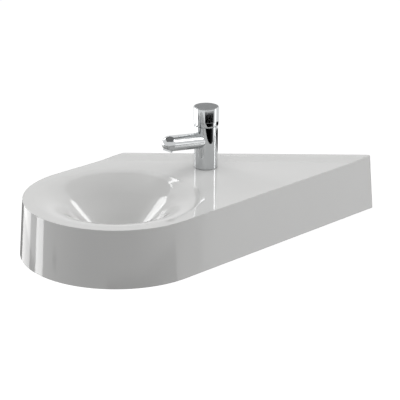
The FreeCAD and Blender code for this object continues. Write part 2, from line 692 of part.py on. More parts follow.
def make_spring():
    """One wire: its first and last half turns lie flat, and each quarter turn is two arcs."""
    wire = size("spring_wire") / 2
    radius = size("spring_radius")
    low = nut_seat_z + size("cover_thickness") + wire
    high = roof_z - wire
    quarters = SPRING_TURNS * QUARTERS
    climbing = quarters - QUARTERS

    def place_at(quarter):
        turn = quarter * 2 * math.pi / QUARTERS
        done = min(max(quarter - QUARTERS / 2, 0), climbing)
        height = low + (high - low) * done / climbing
        point = FreeCAD.Vector(radius * math.cos(turn), radius * math.sin(turn), height)
        slope = (high - low) / (climbing * 2 * math.pi / QUARTERS)
        if done in (0, climbing):
            slope = 0.0
        heading = FreeCAD.Vector(-radius * math.sin(turn), radius * math.cos(turn), slope)
        return point, heading.normalize()

    arcs = []
    for quarter in range(quarters):
        (start, leaving), (end, arriving) = place_at(quarter), place_at(quarter + 1)
        between = end - start
        both = leaving + arriving
        spread = 2 * (1 - leaving.dot(arriving))
        along = between.dot(both)
        reach = (math.sqrt(along ** 2 + spread * between.dot(between)) - along) / spread
        halfway = (start + end + (leaving - arriving) * reach) * 0.5
        corner = start + leaving * reach
        far_corner = end - arriving * reach
        for here, bend, there in ((start, corner, halfway), (halfway, far_corner, end)):
            chord = (here + there) * 0.5
            lift = (bend - chord).Length
            half_chord = (there - here).Length / 2
            # the arc's own middle lies this far towards the corner of its two tangents
            sag = half_chord * math.tan(math.atan2(lift, half_chord) / 2)
            arcs.append(Part.Arc(here, chord + (bend - chord) * (sag / lift), there).toShape())
    path = Part.Wire(arcs)
    start, leaving = place_at(0)
    section = Part.Wire(Part.Circle(start, leaving, wire).toShape())
    spring = doc.addObject("Part::Feature", "return_spring")
    spring.Label = "return_spring"
    spring.Shape = path.makePipeShell([section], True, False)
    spring.Placement = tap_place
    nodes.append(spring)
    expected = path.Length * math.pi * wire ** 2
    print("return_spring: volume %.1f, wire section times length %.1f" % (spring.Shape.Volume, expected))
    pitch = (high - low) / (SPRING_TURNS - 1)
    print("return_spring: least gap between turns %.2f mm" % (pitch / 2 - size("spring_wire")))


# ---- waste: z is the height over the bowl's lowest point ----------------------------------

def make_waste():
    seat = "grid_thickness + waste_seal"
    under = "bowl_wall + boss_drop"
    lathe("waste_grid_seal", (("waste_hole + gap", "-(%s)" % seat), ("grid_radius", "-(%s)" % seat),
                              ("grid_radius", "-grid_thickness"), ("waste_hole + gap", "-grid_thickness")),
          waste_place)
    grid, outline = lathe("waste_grid", (("waste_screw + gap", "-grid_thickness"),
                                         ("grid_spigot - spigot_wall", "-grid_thickness"),
                                         ("grid_spigot - spigot_wall", "-grid_thickness - spigot_drop"),
                                         ("grid_spigot", "-grid_thickness - spigot_drop"),
                                         ("grid_spigot", "-grid_thickness"),
                                         ("grid_radius", "-grid_thickness"),
                                         ("grid_radius", "0"), ("screw_head + gap", "0"),
                                         ("waste_screw + gap", "waste_screw - screw_head")), waste_place)
    hole = drill(grid, "grid_hole", "grid_hole", "grid_thickness * 3",
                 at(size("grid_circle"), 0, -size("grid_thickness") * 2))
    ring_of(grid, "grid_holes", hole, outline, GRID_HOLES)

    bridge_top = under + " + waste_seal"
    screw, _ = lathe("waste_screw", (("0", "-(%s) - bridge_height" % bridge_top),
                                     ("waste_screw", "-(%s) - bridge_height" % bridge_top),
                                     ("waste_screw", "waste_screw - screw_head"), ("screw_head", "0"),
                                     ("0", "0")), waste_place)
    slot = screw.newObject("PartDesign::SubtractiveBox", "slot")
    bind(slot, "Length", "screw_head * 4")
    bind(slot, "Width", "slot_width")
    bind(slot, "Height", "slot_depth * 2")
    slot.Placement = at(-size("screw_head") * 2, -size("slot_width") / 2, -size("slot_depth"))
    doc.recompute()

    lathe("waste_tail_seal", (("waste_hole + gap", "-(%s)" % bridge_top),
                              ("cup_flange", "-(%s)" % bridge_top),
                              ("cup_flange", "-(%s)" % under), ("waste_hole + gap", "-(%s)" % under)),
          waste_place)
    flange_bottom = "-(%s) - cup_flange_thickness" % bridge_top
    tail_end = "-(%s) - waste_tail" % bridge_top
    tail, _ = lathe("waste_tail", (("waste_bore", tail_end), ("waste_thread", tail_end),
                                   ("waste_thread", flange_bottom), ("cup_flange", flange_bottom),
                                   ("cup_flange", "-(%s)" % bridge_top),
                                   ("waste_bore", "-(%s)" % bridge_top)), waste_place)
    bridge_z = -size("bowl_wall") - size("boss_drop") - size("waste_seal") - size("bridge_height")
    half_bridge = (size("waste_bore") + size("waste_thread")) / 2
    bridge = tail.newObject("PartDesign::AdditiveBox", "bridge")
    bind(bridge, "Length", "waste_bore + waste_thread")
    bind(bridge, "Width", "bridge_width")
    bind(bridge, "Height", "bridge_height")
    bridge.Placement = at(-half_bridge, -size("bridge_width") / 2, bridge_z)
    doc.recompute()
    drill(tail, "screw_thread", "waste_screw + fit", "bridge_height * 2",
          at(0, 0, bridge_z - size("bridge_height") / 2))


make_basin()
make_tap_body()
make_nozzle()
make_tap_fixing()
make_cartridge()
make_push_button()
make_spring()
make_waste()


# ---- check and write ---------------------------------------------------------------------

CUTTING = ("Pocket", "Groove", "Subtractive")


def write_nodes():
    doc.recompute()
    for thing in doc.Objects:
        if "Invalid" in thing.State or "Error" in thing.State:
            raise RuntimeError("%s failed: %s" % (thing.Name, thing.State))
        cuts = any(word in thing.TypeId for word in CUTTING)
        if cuts and thing.Shape.Volume > thing.BaseFeature.Shape.Volume - 0.1:
            raise RuntimeError("%s removes nothing" % thing.Name)
    for node in nodes:
        if node.Shape.isNull() or not node.Shape.isValid():
            raise RuntimeError("%s has no valid shape" % node.Label)
    os.makedirs("parts", exist_ok=True)
    for node in nodes:
        node.Shape.exportStep("parts/%s.step" % node.Label)
        box = node.Shape.BoundBox
        print("%-18s solids %d volume %9.0f  x %7.1f..%7.1f  y %7.1f..%7.1f  z %7.1f..%7.1f" % (
            node.Label, len(node.Shape.Solids), node.Shape.Volume,
            box.XMin, box.XMax, box.YMin, box.YMax, box.ZMin, box.ZMax))


write_nodes()
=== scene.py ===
import bmesh
import bpy
import math
from mathutils import Matrix, Vector


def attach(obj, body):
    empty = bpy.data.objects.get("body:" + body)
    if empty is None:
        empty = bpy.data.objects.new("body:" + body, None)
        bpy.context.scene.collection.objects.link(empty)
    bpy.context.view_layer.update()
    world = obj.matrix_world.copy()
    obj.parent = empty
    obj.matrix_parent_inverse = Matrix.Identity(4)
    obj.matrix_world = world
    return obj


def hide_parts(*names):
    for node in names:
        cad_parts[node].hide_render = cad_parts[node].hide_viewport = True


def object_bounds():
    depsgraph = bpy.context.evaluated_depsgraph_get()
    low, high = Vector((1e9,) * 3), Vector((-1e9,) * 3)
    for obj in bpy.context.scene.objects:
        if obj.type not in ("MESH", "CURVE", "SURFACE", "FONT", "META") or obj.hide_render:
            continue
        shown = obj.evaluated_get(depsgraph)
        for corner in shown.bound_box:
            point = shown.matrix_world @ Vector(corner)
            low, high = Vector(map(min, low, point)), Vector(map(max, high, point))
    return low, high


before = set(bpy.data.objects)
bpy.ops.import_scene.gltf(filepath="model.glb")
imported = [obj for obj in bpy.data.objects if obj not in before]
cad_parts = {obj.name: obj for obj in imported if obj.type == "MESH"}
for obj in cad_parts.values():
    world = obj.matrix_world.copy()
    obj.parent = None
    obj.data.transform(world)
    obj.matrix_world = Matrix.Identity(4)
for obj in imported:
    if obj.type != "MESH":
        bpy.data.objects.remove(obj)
cad_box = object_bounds()

# The ceramic body, slip cast in one piece: straight back against the wall, round front, flared
# apron, sunk bowl, and a hollow underside. Its edges are softened by hand before it is glazed.
# Drawn in millimetres, in the part's own frame, and taken to metres at the end.
MM = 0.001
SHARP_ANGLE = math.radians(30)
RIM = 61.5
WALL_LENGTH = 645.0
FOOT = -80.0
BOWL_CENTRE = Vector((-322.5, -322.5, 0))
HALF_WIDTH = 228.04
FLARE = 9.0 / 144.5
CORNER_RADIUS = 7.6
RIM_RADIUS = 5.0
FOOT_RADIUS = 3.0
WALL = 12.0
BACK_WALL = 14.0
SLAB = 14.0
LEDGE_RISE = 3.0
LEDGE_DEPTH = 17.0
LEDGE_RUN = 39.0
LEDGE_BLEND = 60.0
BOWL_RADIUS = 210.0
BOWL_DEPTH = 112.0
CREST_LIFT = 0.25
BOWL_SLOPE = math.radians(43.5)
SHOULDER = 129.88
CUP = 100.0
GRID_SEAT = Vector((31.8, -5.0))
SEAT_BEVEL = 0.8
WASTE_HOLE = 22.5
BOSS = Vector((38.0, -17.0))
TAP_CENTRE = Vector((-109.5, -96.5, 0))
TAP_HOLE = 17.5
FIXING_SPACING = 280.0
FIXING_HOLE = 7.0
HOLE_SIDES = 96
TURNS = 192
CURVE_STEPS = 16
BEND_CUTS = 5
# the plan is a teardrop: AXIS runs from its round front to the wall, SIDE across it
AXIS = Vector((1, 1, 0)).normalized()
SIDE = Vector((1, -1, 0)).normalized()


def smooth_piece(name, work):
    """A finished bmesh as an object in metres, smooth shaded except at its sharp edges."""
    bmesh.ops.scale(work, verts=work.verts, vec=(MM, MM, MM))
    mesh = bpy.data.meshes.new(name)
    work.to_mesh(mesh)
    work.free()
    mesh.shade_smooth()
    mesh.set_sharp_from_angle(angle=SHARP_ANGLE)
    piece = bpy.data.objects.new(name, mesh)
    even = piece.modifiers.new("even shading", "WEIGHTED_NORMAL")
    even.keep_sharp = True
    bpy.context.scene.collection.objects.link(piece)
    return piece


def chain(work, points):
    """A row of vertices joined by edges."""
    verts = [work.verts.new(point) for point in points]
    return verts + [work.edges.new(pair) for pair in zip(verts, verts[1:])]


def at_section(radius, height):
    """A point of the bowl's section, where the right half of the round front begins."""
    return BOWL_CENTRE + Vector((radius, -radius, 0)) / math.sqrt(2) + Vector((0, 0, RIM + height))


def spin_about_bowl(work, parts, angle, steps):
    """Turn edges about the bowl's upright axis; a full turn is joined to its start."""
    bmesh.ops.spin(work, geom=parts, cent=BOWL_CENTRE, axis=(0, 0, 1), angle=angle, steps=steps,
                   use_merge=angle == 2 * math.pi)


def take_in(work, other):
    """Add another bmesh to this one and free it."""
    spare = bpy.data.meshes.new("spare")
    other.to_mesh(spare)
    other.free()
    work.from_mesh(spare)
    bpy.data.meshes.remove(spare)


def cut(work, point, normal, trim=False):
    """Part every face at a plane; trim also takes away what lies beyond it."""
    bmesh.ops.bisect_plane(work, geom=work.verts[:] + work.edges[:] + work.faces[:], dist=1e-5,
                           plane_co=point, plane_no=normal, clear_outer=trim)


def level_plate(hole, width, back, height):
    """A plate round a hole: half a ring in front, then sides that run back to the wall."""
    plate = bmesh.new()
    spin_about_bowl(plate, chain(plate, [at_section(hole, height), at_section(width, height)]),
                    -math.pi, TURNS // 2)
    rear = bmesh.new()
    spin_about_bowl(rear, chain(rear, [at_section(hole, height), at_section(width * 5, height)]),
                    math.pi, TURNS // 2)
    cut(rear, BOWL_CENTRE + SIDE * width, SIDE, trim=True)
    cut(rear, BOWL_CENTRE - SIDE * width, -SIDE, trim=True)
    cut(rear, Vector((0, back, 0)), Vector((0, 1, 0)), trim=True)
    take_in(plate, rear)
    bmesh.ops.remove_doubles(plate, verts=plate.verts, dist=0.01)
    return plate


def drop_walls(plate, hole, width):
    """Carry the plate's outline down to the foot, flaring outwards."""
    outline = [edge for edge in plate.edges if edge.is_boundary
               and all((vert.co - BOWL_CENTRE).xy.length > hole + 1 for vert in edge.verts)]
    top = max(vert.co.z for vert in plate.verts)
    made = bmesh.ops.extrude_edge_only(plate, edges=outline)["geom"]
    for vert in [item for item in made if isinstance(item, bmesh.types.BMVert)]:
        out = FLARE * (top - FOOT)
        from_centre = (vert.co - BOWL_CENTRE) * Vector((1, 1, 0))
        if from_centre.dot(AXIS) < 0:
            vert.co += from_centre.normalized() * out
        elif vert.co.y > -BACK_WALL - 1:
            # beside the wall the outline keeps its distance from it, so it widens along X only
            vert.co.x += out * math.sqrt(2) * from_centre.dot(SIDE) / width
        else:
            vert.co += SIDE * out * from_centre.dot(SIDE) / width
        vert.co.z = FOOT


def bowl_side(grown, outer, inner):
    """The bowl's section between two radii: shoulder, sloping side and cup, wall added."""
    shoulder, cup = SHOULDER - grown, CUP + grown

    def shoulder_point(turn):
        height = CREST_LIFT - SHOULDER + shoulder * math.cos(turn)
        return BOWL_RADIUS - shoulder * math.sin(turn), height

    def cup_point(turn):
        return cup * math.sin(turn), CUP - BOWL_DEPTH - cup * math.cos(turn)

    first = math.asin((BOWL_RADIUS - outer) / shoulder)
    last = math.asin(inner / cup)
    steps = [index / CURVE_STEPS for index in range(CURVE_STEPS + 1)]
    return ([shoulder_point(first + (BOWL_SLOPE - first) * step) for step in steps]
            + [cup_point(BOWL_SLOPE + (last - BOWL_SLOPE) * step) for step in steps])


def ledge_height(y):
    """The deck's last stretch rises gently to the wall, between two wide bends."""
    slope = math.atan(LEDGE_RISE / LEDGE_RUN)
    tangent = LEDGE_BLEND * math.tan(slope / 2)
    from_front = y + LEDGE_DEPTH + LEDGE_RUN + tangent
    from_back = tangent - LEDGE_DEPTH - y
    bend = LEDGE_BLEND * math.sin(slope)
    if from_front <= 0:
        return 0.0
    if from_front < bend:
        return LEDGE_BLEND - math.sqrt(LEDGE_BLEND ** 2 - from_front ** 2)
    if from_back <= 0:
        return LEDGE_RISE
    if from_back < bend:
        return LEDGE_RISE - LEDGE_BLEND + math.sqrt(LEDGE_BLEND ** 2 - from_back ** 2)
    return (from_front - tangent) * LEDGE_RISE / LEDGE_RUN


def bevel_edges(work, edges, offset, segments):
    bmesh.ops.bevel(work, geom=edges, offset=offset, offset_type="OFFSET", segments=segments, profile=0.5,
                    affect="EDGES", clamp_overlap=True, material=-1)


shell_edge = SHOULDER - WALL
meets_slab = BOWL_RADIUS - math.sqrt(shell_edge ** 2 - (SHOULDER - CREST_LIFT - SLAB) ** 2)
meets_rim = BOWL_RADIUS - math.sqrt(SHOULDER ** 2 - (SHOULDER - CREST_LIFT) ** 2)
basin = level_plate(meets_rim, HALF_WIDTH, 0, 0)
hollow = level_plate(meets_slab, HALF_WIDTH - WALL, -BACK_WALL, -SLAB)
for plate in (basin, hollow):
    for bend in (LEDGE_DEPTH + LEDGE_RUN, LEDGE_DEPTH):
        for step in range(BEND_CUTS):
            cut(plate, Vector((0, step - BEND_CUTS // 2 - bend, 0)), Vector((0, 1, 0)))
for vert in basin.verts:
    vert.co.z += ledge_height(vert.co.y)
drop_walls(basin, meets_rim, HALF_WIDTH)
drop_walls(hollow, meets_slab, HALF_WIDTH - WALL)
take_in(basin, hollow)
foot_edges = [edge for edge in basin.edges
              if edge.is_boundary and all(vert.co.z < FOOT + 0.1 for vert in edge.verts)]
bmesh.ops.bridge_loops(basin, edges=foot_edges)

section = bmesh.new()
floor_height = -BOWL_DEPTH
inside = bowl_side(0, meets_rim, GRID_SEAT.x)
inside += [(GRID_SEAT.x, floor_height + GRID_SEAT.y), (WASTE_HOLE, floor_height + GRID_SEAT.y),
           (WASTE_HOLE, floor_height + BOSS.y), (BOSS.x, floor_height + BOSS.y)]
outside = bowl_side(WALL, meets_slab, BOSS.x)
spin_about_bowl(section, chain(section, [at_section(*point) for point in inside + outside[::-1]]),
                2 * math.pi, TURNS)
take_in(basin, section)
bmesh.ops.remove_doubles(basin, verts=basin.verts, dist=0.05)
bmesh.ops.recalc_face_normals(basin, faces=basin.faces)

# the two upright corners at the wall, of 45 and 135 degrees
for side, half_angle, segments in ((1, math.pi / 8, 8), (-1, math.pi * 3 / 8, 6)):
    corner = [edge for edge in basin.edges if edge.calc_length() > 120
              and all(vert.co.y > -0.1 and vert.co.x * side > WALL_LENGTH / 2 - 0.1 for vert in edge.verts)]
    bevel_edges(basin, corner, CORNER_RADIUS / math.tan(half_angle), segments)


def upright(face):
    return abs(face.normal.z) < 0.3


def outline_edges(low, high):
    """Edges between an upright outer wall and a level face, in a range of heights."""
    basin.normal_update()
    found = []
    for edge in basin.edges:
        if all(low < vert.co.z < high for vert in edge.verts) and len(edge.link_faces) == 2:
            if upright(edge.link_faces[0]) != upright(edge.link_faces[1]):
                found.append(edge)
    return found


bevel_edges(basin, outline_edges(RIM - 1, RIM + 5), RIM_RADIUS, 6)
bevel_edges(basin, outline_edges(FOOT - 1, FOOT + 1), FOOT_RADIUS, 3)
seat_edges = [edge for edge in basin.edges
              if all(abs((vert.co - BOWL_CENTRE).xy.length - GRID_SEAT.x) < 0.1 for vert in edge.verts)
              and abs(edge.verts[0].co.z - edge.verts[1].co.z) < 0.01
              and edge.verts[0].co.z > RIM - BOWL_DEPTH - 2]
bevel_edges(basin, seat_edges, SEAT_BEVEL, 3)


def bore(work, bars):
    """Drill round bars out of a closed bmesh, both still in millimetres."""
    blocks = []
    for name, shape in (("block", work), ("bars", bars)):
        bmesh.ops.dissolve_degenerate(shape, dist=0.01, edges=shape.edges)
        bmesh.ops.recalc_face_normals(shape, faces=shape.faces)
        mesh = bpy.data.meshes.new(name)
        shape.to_mesh(mesh)
        blocks.append(bpy.data.objects.new(name, mesh))
        bpy.context.scene.collection.objects.link(blocks[-1])
    bars.free()
    block, cutter = blocks
    drill = block.modifiers.new("drill", "BOOLEAN")
    drill.operation = "DIFFERENCE"
    drill.solver = "EXACT"
    drill.object = cutter
    drilled = bpy.data.meshes.new_from_object(block.evaluated_get(bpy.context.evaluated_depsgraph_get()))
    work.clear()
    work.from_mesh(drilled)
    bmesh.ops.remove_doubles(work, verts=work.verts, dist=0.08)
    for leftover in blocks:
        bpy.data.objects.remove(leftover)


bars = bmesh.new()
for place, radius, length in (
        [(Matrix.Translation(TAP_CENTRE + Vector((0, 0, RIM))), TAP_HOLE, SLAB * 3)]
        + [(Matrix.Translation((side * FIXING_SPACING / 2, 0, 0)) @ Matrix.Rotation(math.pi / 2, 4, "X"),
            FIXING_HOLE, BACK_WALL * 3) for side in (-1, 1)]):
    bmesh.ops.create_cone(bars, cap_ends=True, segments=HOLE_SIDES, radius1=radius, radius2=radius,
                          depth=length, matrix=place)
bore(basin, bars)
basin_piece = smooth_piece("ceramic_basin", basin)
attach(basin_piece, "basin_body")
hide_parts("basin")


# Vitreous china: a dense white body under a clear fired glaze. It gives a soft cool white with
# sharp reflections that waver a little, because the glaze pools and thins as it melts.
def linear(hex_colour):
    """An sRGB hex colour as linear RGBA."""
    channels = [int(hex_colour[at:at + 2], 16) / 255 for at in (1, 3, 5)]
    return [c / 12.92 if c <= 0.04045 else ((c + 0.055) / 1.055) ** 2.4 for c in channels] + [1.0]


def add_node(material, kind, inputs=None, **settings):
    """One shader node; an input takes a value, or the socket that feeds it."""
    node = material.node_tree.nodes.new("ShaderNode" + kind)
    for name, value in settings.items():
        setattr(node, name, value)
    for name, value in (inputs or {}).items():
        if isinstance(value, bpy.types.NodeSocket):
            material.node_tree.links.new(value, node.inputs[name])
        else:
            node.inputs[name].default_value = value
    return node


def new_finish(name, tones, patch, roughness, waver, relief, **surface):
    """A finish whose tone drifts between two hex colours in patches, and whose skin wavers.

    patch and waver are sizes in metres; roughness is its lowest and highest; relief is in metres.
    """
    material = bpy.data.materials.new(name)
    material.use_nodes = True
    shader = material.node_tree.nodes["Principled BSDF"]
    for socket, value in surface.items():
        shader.inputs[socket.replace("_", " ")].default_value = value
    here = add_node(material, "TexCoord").outputs["Object"]
    drift = add_node(material, "TexNoise", {"Vector": here, "Scale": 1 / patch, "Detail": 3.0})
    tone = add_node(material, "Mix", {"Factor": drift.outputs["Fac"], "A": linear(tones[0]),
                                      "B": linear(tones[1])}, data_type="RGBA")
    polish = add_node(material, "MapRange", {"Value": drift.outputs["Fac"], "To Min": roughness[0],
                                             "To Max": roughness[1]})
    skin = add_node(material, "TexNoise", {"Vector": here, "Scale": 1 / waver, "Detail": 1.0})
    bump = add_node(material, "Bump", {"Height": skin.outputs["Fac"], "Distance": relief, "Strength": 1.0})
    for output, socket in ((tone.outputs["Result"], "Base Color"), (polish.outputs["Result"], "Roughness"),
                           (bump.outputs["Normal"], "Normal")):
        material.node_tree.links.new(output, shader.inputs[socket])
    return material


def coat_with(material, *pieces):
    for piece in pieces:
        piece.data.materials.clear()
        piece.data.materials.append(material)


glaze = new_finish("vitreous_china_glaze", ("#D1D1D0", "#D6D6D5"), 0.2, (0.05, 0.07), 0.05, 0.0001, IOR=1.52)
coat_with(glaze, basin_piece)


# The tap's gasket, a flat ring of grey rubber, lies between the foot and the glazed deck. The two
# washers under the deck are of the same rubber and of stainless steel, and spread the nut's pull.
grey_rubber = new_finish("grey_rubber", ("#8A8B8B", "#939494"), 0.01, (0.5, 0.65), 0.001, 0.00003)
coat_with(grey_rubber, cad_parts["tap_gasket"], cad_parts["tap_washer_rubber"])
steel = new_finish("stainless_steel", ("#B9BABB", "#C6C7C8"), 0.006, (0.22, 0.34), 0.0008, 0.00001,
                   Metallic=1.0)
coat_with(steel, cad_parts["tap_washer_steel"])


# The tap body and its spout are one brass casting, ground, polished and plated with nickel and
# chromium. The plate gives a cool mirror that shows the room, with the grinder's faint ripple.
chrome = new_finish("polished_chrome_plate", ("#C3C5C6", "#C9CBCC"), 0.03, (0.02, 0.05), 0.012, 0.00001,
                    Metallic=1.0)
coat_with(chrome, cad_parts["tap_body"])


# The collar ring is a turned brass ring, plated like the body, that is pressed on its neck. A fine
# chamfer at its lower edge leaves the dark seam round the tap, and a bead of light above it.
BODY_TOP = 110.0
NECK = 27.55
BODY_RADIUS = 30.1
COLLAR_RADIUS = 31.2
COLLAR_TOP = 129.0
TAP = Matrix.Translation(TAP_CENTRE + Vector((0, 0, RIM)))


def lathe(name, profile, place, segments=128):
    """A turned piece: its section, as (radius, height) in millimetres, spun about the place's Z."""
    work = bmesh.new()
    section = chain(work, [(radius, 0, height) for radius, height in profile])
    verts = [part for part in section if isinstance(part, bmesh.types.BMVert)]
    section.append(work.edges.new((verts[-1], verts[0])))
    bmesh.ops.spin(work, geom=section, axis=(0, 0, 1), cent=(0, 0, 0), angle=2 * math.pi, steps=segments,
                   use_merge=True)
    bmesh.ops.remove_doubles(work, verts=work.verts, dist=0.0005)
    bmesh.ops.recalc_face_normals(work, faces=work.faces)
    bmesh.ops.transform(work, matrix=place, verts=work.verts)
    return smooth_piece(name, work)


def rounded(profile, corner, radius, steps=5):
    """The section with one corner rounded, by its place in the list."""
    here, before, after = (Vector(profile[corner + step]) for step in (0, -1, 1))
    start = here + (before - here).normalized() * radius
    end = here + (after - here).normalized() * radius
    arc = [start.lerp(here, at / steps).lerp(here.lerp(end, at / steps), at / steps)
           for at in range(steps + 1)]
    return profile[:corner] + [tuple(point) for point in arc] + profile[corner + 1:]


collar = lathe("collar_ring_turned", [
    (NECK, BODY_TOP), (BODY_RADIUS - 0.7, BODY_TOP), (BODY_RADIUS, BODY_TOP + 0.7),
    (COLLAR_RADIUS, BODY_TOP + 4), (COLLAR_RADIUS, COLLAR_TOP - 0.5), (COLLAR_RADIUS - 0.5, COLLAR_TOP),
    (NECK, COLLAR_TOP)], TAP)
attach(collar, "basin_body")
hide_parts("collar_ring")
coat_with(chrome, collar)


# The cartridge is a push valve in a sleeve of white acetal, sealed by rings of black rubber, and held
# down by a brass nut. A steel spindle carries the brass valve disc, with its rubber face, and the cap.
acetal = new_finish("white_acetal", ("#E2E1DD", "#EAE9E6"), 0.01, (0.35, 0.45), 0.002, 0.00002)
coat_with(acetal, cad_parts["cartridge_housing"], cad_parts["cartridge_cover"])
brass = new_finish("raw_turned_brass", ("#D8BC7A", "#E2C888"), 0.01, (0.18, 0.3), 0.0006, 0.00001,
                   Metallic=1.0)
coat_with(brass, *[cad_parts[name] for name in ("cartridge_nut", "valve_disc", "tap_backnut")])
black_rubber = new_finish("black_rubber", ("#1B1B1C", "#242425"), 0.006, (0.5, 0.65), 0.0008, 0.00002)
coat_with(black_rubber, *[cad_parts[name] for name in (
    "cartridge_seals", "valve_rubber_disc", "aerator_seal", "waste_grid_seal", "waste_tail_seal")])
coat_with(steel, *[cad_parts[name] for name in ("spindle", "return_spring", "cap_screw", "waste_screw")])


# The push cap is turned from brass, with a thin skirt that slides down over the collar ring. Its
# skirt is polished chrome with a chamfered lower edge, and its flat top is turned and left satin.
CAP_RADIUS = 32.5
CAP_LOW = 124.0
CAP_TOP = 159.5
CAP_ROOF = 3.0
SKIRT = 1.0
CAP_BOSS = 8.5
CAP_BOSS_LENGTH = 16.0
CAP_BORE = 5.05
CAP_EDGE = 2.6
CAP_CORNER = 8
roof = CAP_TOP - CAP_ROOF
skirt_inside = CAP_RADIUS - SKIRT
section = [(CAP_BORE, roof), (CAP_BORE, roof - CAP_BOSS_LENGTH), (CAP_BOSS, roof - CAP_BOSS_LENGTH),
           (CAP_BOSS, roof), (skirt_inside, roof), (skirt_inside, CAP_LOW), (CAP_RADIUS - 0.7, CAP_LOW),
           (CAP_RADIUS, CAP_LOW + 0.9), (CAP_RADIUS, CAP_TOP), (0, CAP_TOP), (0, roof)]
cap = lathe("push_cap_turned", rounded(section, CAP_CORNER, CAP_EDGE), TAP)
satin = new_finish("satin_chrome_plate", ("#868889", "#8C8E8F"), 0.01, (0.42, 0.5), 0.0006, 0.000005,
                   Metallic=1.0)
from_tap = add_node(satin, "Mapping", {"Vector": add_node(satin, "TexCoord").outputs["Object"],
                                       "Location": -TAP_CENTRE * MM})
turning = add_node(satin, "TexWave", {"Vector": from_tap.outputs["Vector"], "Scale": 700.0},
                   wave_type="RINGS", rings_direction="Z")
fine = next(node for node in satin.node_tree.nodes if node.bl_idname == "ShaderNodeBump")
tool_marks = add_node(satin, "Bump", {"Height": turning.outputs["Fac"], "Distance": 0.00001,
                                      "Normal": fine.outputs["Normal"]})
shader = satin.node_tree.nodes["Principled BSDF"]
satin.node_tree.links.new(tool_marks.outputs["Normal"], shader.inputs["Normal"])
coat_with(chrome, cap)
cap.data.materials.append(satin)
for face in cap.data.polygons:
    if face.center.z > (RIM + CAP_TOP - 0.05) * MM:
        face.material_index = 1
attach(cap, "push_button")
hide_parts("push_cap")


# The nozzle under the spout's round end: a chromed brass ring screwed into the casting, which holds
# a grey acetal plate with eight jets.
coat_with(chrome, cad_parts["aerator_housing"])
grey_acetal = new_finish("grey_acetal", ("#A6A9AB", "#AEB1B3"), 0.006, (0.35, 0.45), 0.001, 0.00001)
coat_with(grey_acetal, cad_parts["aerator_insert"])


# The threaded shank, turned from brass and left raw, goes down through the deck. Its lower end is
# the narrower thread of the water inlet, and a brass nut draws the tap down on its gasket.
SHANK_RADIUS = 14.0
SHANK_GRIP = 20.0
SHANK_LOW = -45.0
TAIL_RADIUS = 10.48
TAIL_LOW = -63.0
INLET_BORE = 6.5
TAIL_PITCH = 1.34
SHANK_PITCH = 1.5


def thread(radius, low, high, pitch, depth):
    """The outside of a thread, drawn as a row of ridges from low to high."""
    ridges = int((high - low) / pitch)
    step = (high - low) / ridges
    points = [(radius - depth, low)]
    for ridge in range(ridges):
        start = low + ridge * step
        points += [(radius - depth, start + step * 0.15), (radius, start + step * 0.45),
                   (radius, start + step * 0.6), (radius - depth, start + step * 0.9)]
    return points + [(radius - depth, high)]


shank = lathe("tap_shank_threaded",
              [(INLET_BORE, TAIL_LOW)] + thread(TAIL_RADIUS, TAIL_LOW, SHANK_LOW, TAIL_PITCH, 0.8)
              + thread(SHANK_RADIUS, SHANK_LOW, SHANK_GRIP, SHANK_PITCH, 0.9) + [(INLET_BORE, SHANK_GRIP)],
              TAP, segments=96)
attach(shank, "basin_body")
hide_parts("tap_shank")
coat_with(brass, shank)


# The waste: a chromed grid that lies flush in the bowl's lowest point, and under the basin a cup
# with a threaded tail. One long screw through the middle clamps both on the ceramic.
FLANGE = 31.0
TAIL_TOP = -19.0
FLANGE_LOW = -23.0
WASTE_LOW = -71.0
WASTE_THREAD = 20.95
WASTE_BORE = 17.5
WASTE_PITCH = 2.3
BRIDGE = Vector((38.45, 12.0, 8.0))
WASTE = Matrix.Translation(BOWL_CENTRE + Vector((0, 0, RIM - BOWL_DEPTH)))
coat_with(chrome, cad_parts["waste_grid"])
tail = lathe("waste_tail_threaded",
             [(WASTE_BORE, WASTE_LOW)] + thread(WASTE_THREAD, WASTE_LOW, FLANGE_LOW, WASTE_PITCH, 1.2)
             + [(FLANGE - 0.5, FLANGE_LOW), (FLANGE, FLANGE_LOW + 0.5), (FLANGE, TAIL_TOP - 0.5),
                (FLANGE - 0.5, TAIL_TOP), (WASTE_BORE, TAIL_TOP)], WASTE)
bar = bmesh.new()
bmesh.ops.create_cube(bar, size=1)
bmesh.ops.scale(bar, verts=bar.verts, vec=BRIDGE)
bmesh.ops.bevel(bar, geom=bar.edges[:], affect="EDGES", offset=0.6, segments=2, profile=0.5, material=-1)
bmesh.ops.transform(bar, verts=bar.verts,
                    matrix=WASTE @ Matrix.Translation((0, 0, TAIL_TOP - BRIDGE.z / 2)))
bridge = smooth_piece("waste_bridge", bar)
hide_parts("waste_tail")
for piece in (tail, bridge):
    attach(piece, "basin_body")
    coat_with(chrome, piece)


# The studio is a white room with a pale floor well below. Softboxes behind the basin draw the
# highlights in the bowl, a strip at the left draws the one on the apron, and three large soft lamps
# only fill. Dark carpets on the floor and a grey ceiling put the darks into the chrome.
BOWL = Vector((-0.32, -0.32, 0.05))
FLOOR = cad_box[0][2] - 2.3
ROOM = 40.0
FLOOR_GLOW = 0.75
WORLD_LEVEL = 0.3


def toward(bearing, height, distance=3.0):
    """A place seen from the bowl: degrees right of the wall's direction, and above the horizon."""
    right, up = math.radians(bearing), math.radians(height)
    level = Vector((math.sin(right), math.cos(right), 0)) * math.cos(up)
    return BOWL + (level + Vector((0, 0, math.sin(up)))) * distance


